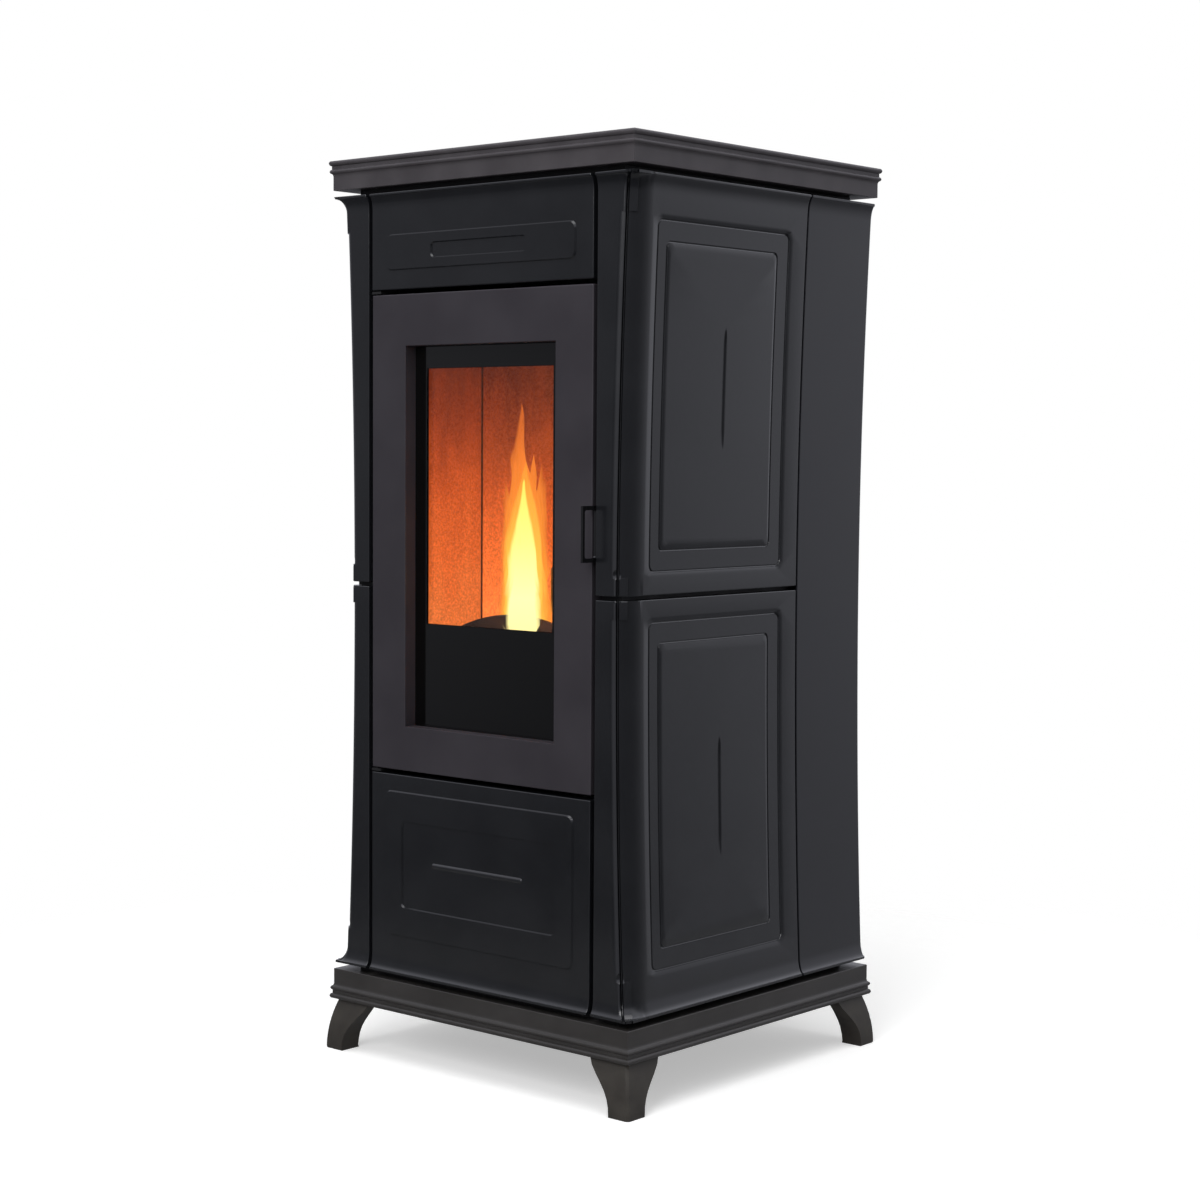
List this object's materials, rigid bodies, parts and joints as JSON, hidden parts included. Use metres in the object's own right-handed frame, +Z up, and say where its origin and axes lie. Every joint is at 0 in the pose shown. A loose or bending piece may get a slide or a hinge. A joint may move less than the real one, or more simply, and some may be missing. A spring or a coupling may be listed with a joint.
{
  "type": "pellet stove",
  "caption": "Free-standing pellet stove: waisted ceramic body, moulded top plate and plinth, short flared legs, tall glazed fire door with a side bail handle.",
  "frame": {"origin": "on the floor, under the middle of the bounding box: halfway in width, and halfway between the handle's bar and the flue stub's end", "axes": "+Z up, -Y the front with the fire door, +X the side with the door handle and the control panel"},
  "size_m": [0.52, 0.5488, 1.1509],
  "materials": {
    "glazed_ceramic": "near-black glossy ceramic glaze",
    "enamelled_cast_iron": "satin charcoal enamel on cast iron",
    "brown_cast_iron": "satin brown-charcoal enamel on cast iron",
    "door_paint": "satin charcoal heat-proof paint",
    "black_steel": "matt black heat-proof paint",
    "galvanised_steel": "galvanised sheet steel",
    "ceramic_glass": "ceramic glass, printed black round its edges",
    "rope_seal": "woven glass-fibre rope seal",
    "vermiculite": "pressed vermiculite board",
    "cast_iron": "bare dark cast iron",
    "bright_steel": "zinc-plated or stainless steel",
    "aluminium": "die-cast or sheet aluminium",
    "heater_ceramic": "fired ceramic heater rod",
    "black_plastic": "fine-textured black plastic",
    "grey_plastic": "fine-textured grey plastic",
    "circuit_board": "lacquered circuit board"
  },
  "bodies": {
    "stove": {"top_plate": "enamelled_cast_iron", "base_plinth": "enamelled_cast_iron", "leg_front_right": "brown_cast_iron", "leg_front_left": "brown_cast_iron", "leg_rear_right": "brown_cast_iron", "leg_rear_left": "brown_cast_iron", "side_tile_right_upper": "glazed_ceramic", "side_tile_left_upper": "glazed_ceramic", "side_tile_right_lower": "glazed_ceramic", "side_tile_left_lower": "glazed_ceramic", "front_tile_upper": "glazed_ceramic", "front_tile_lower": "glazed_ceramic", "rear_panel_right": "black_steel", "rear_panel_left": "black_steel", "back_panel": "black_steel", "chassis_right": "black_steel", "chassis_left": "black_steel", "hinge_upper": "black_steel", "hinge_lower": "black_steel", "latch_keeper": "bright_steel", "firebox": "black_steel", "liner_right": "vermiculite", "liner_left": "vermiculite", "liner_back": "vermiculite", "flame_baffle": "vermiculite", "hearth": "cast_iron", "igniter": "heater_ceramic", "lid_hinge_pin": "bright_steel", "hopper": "galvanised_steel", "hopper_grate": "bright_steel", "auger_tube": "galvanised_steel", "auger_motor": "aluminium", "smoke_box": "galvanised_steel", "smoke_fan_housing": "aluminium", "smoke_fan_motor": "aluminium", "flue_spigot": "galvanised_steel", "air_intake": "galvanised_steel", "blower_housing": "galvanised_steel", "blower_motor": "aluminium", "control_panel": "black_plastic", "control_board": "circuit_board", "power_inlet": "black_plastic"},
    "door": {"door_frame": "door_paint", "door_glass": "ceramic_glass", "glass_retainer": "black_steel", "door_gasket": "rope_seal", "handle_pin": "bright_steel"},
    "handle": {"door_handle": "black_steel"},
    "lid": {"hopper_lid": "enamelled_cast_iron"},
    "screw": {"auger_screw": "bright_steel"},
    "smoke_wheel": {"smoke_fan_impeller": "bright_steel"},
    "room_drum": {"blower_drum": "aluminium"},
    "pot": {"burn_pot": "cast_iron"},
    "drawer": {"ash_drawer": "galvanised_steel"},
    "rocker": {"power_rocker": "black_plastic"},
    "key_down": {"button_down": "grey_plastic"},
    "key_up": {"button_up": "grey_plastic"},
    "key_menu": {"button_menu": "grey_plastic"},
    "key_power": {"button_power": "grey_plastic"}
  },
  "joints": [
    {"name": "door_hinge", "type": "hinge", "parent": "stove", "child": "door", "pos_m": [-0.181, -0.2474, 0.676], "axis": [0, 0, -1], "range_deg": [0, 110]},
    {"name": "handle_pivot", "type": "hinge", "parent": "door", "child": "handle", "pos_m": [0.189, -0.2434, 0.6848], "axis": [-1, 0, 0], "range_deg": [0, 20]},
    {"name": "lid_hinge", "type": "hinge", "parent": "stove", "child": "lid", "pos_m": [0, 0.1776, 1.1473], "axis": [-1, 0, 0], "range_deg": [0, 75]},
    {"name": "auger_spin", "type": "hinge", "parent": "stove", "child": "screw", "pos_m": [0, 0.0469, 0.61926], "axis": [0, -0.866, 0.5], "continuous": true},
    {"name": "smoke_fan_spin", "type": "hinge", "parent": "stove", "child": "smoke_wheel", "pos_m": [0.0873, 0.0249, 0.2046], "axis": [1, 0, 0], "continuous": true},
    {"name": "room_fan_spin", "type": "hinge", "parent": "stove", "child": "room_drum", "pos_m": [0, -0.1634, 0.1649], "axis": [1, 0, 0], "continuous": true},
    {"name": "burn_pot_lift", "type": "slide", "parent": "stove", "child": "pot", "axis": [0, 0, 1], "range_m": [0, 0.045]},
    {"name": "ash_drawer_slide", "type": "slide", "parent": "stove", "child": "drawer", "axis": [0, -1, 0], "range_m": [0, 0.131]},
    {"name": "power_switch", "type": "hinge", "parent": "stove", "child": "rocker", "pos_m": [-0.15, 0.2284, 0.1866], "axis": [-1, 0, 0], "range_deg": [0, 20]},
    {"name": "button_down_press", "type": "slide", "parent": "stove", "child": "key_down", "axis": [0, 0, -1], "range_m": [0, 0.001], "stiffness_N_per_m": 300, "springref_m": -0.0002},
    {"name": "button_up_press", "type": "slide", "parent": "stove", "child": "key_up", "axis": [0, 0, -1], "range_m": [0, 0.001], "stiffness_N_per_m": 300, "springref_m": -0.0002},
    {"name": "button_menu_press", "type": "slide", "parent": "stove", "child": "key_menu", "axis": [0, 0, -1], "range_m": [0, 0.001], "stiffness_N_per_m": 300, "springref_m": -0.0002},
    {"name": "button_power_press", "type": "slide", "parent": "stove", "child": "key_power", "axis": [0, 0, -1], "range_m": [0, 0.001], "stiffness_N_per_m": 300, "springref_m": -0.0002}
  ],
  "couplings": [
    {"joint": "ash_drawer_slide", "follows": "door_hinge", "m_per_rad": 0.068}
  ]
}
